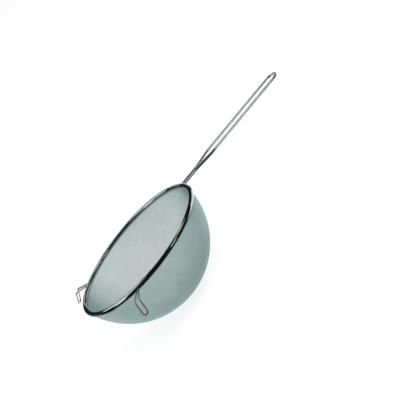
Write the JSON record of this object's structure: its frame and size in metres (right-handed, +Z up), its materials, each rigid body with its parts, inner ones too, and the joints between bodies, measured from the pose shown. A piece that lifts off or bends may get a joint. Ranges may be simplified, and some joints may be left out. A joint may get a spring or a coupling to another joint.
{
  "type": "mesh strainer",
  "caption": "Round-bottomed double wire mesh kitchen strainer with a rolled rim, a looped wire handle and hooked pot rests.",
  "frame": {"origin": "centre of the rim, in the plane of the bead's centre line", "axes": "+Z up out of the open bowl, +X from the rim's centre out along the handle"},
  "size_m": [0.5015, 0.311, 0.1137],
  "materials": {
    "plated_rim": "bright nickel plate",
    "hoop_wire": "bare drawn steel wire",
    "outer_mesh": "woven wire, nickel plated",
    "inner_mesh": "fine woven wire, nickel plated",
    "plated_wire": "bright nickel plate"
  },
  "bodies": {
    "root": {"rim_band": "plated_rim", "rim_hoop": "hoop_wire", "outer_mesh": "outer_mesh", "inner_mesh": "inner_mesh", "handle_wire": "plated_wire", "left_pot_rest": "plated_wire", "right_pot_rest": "plated_wire"}
  },
  "joints": []
}
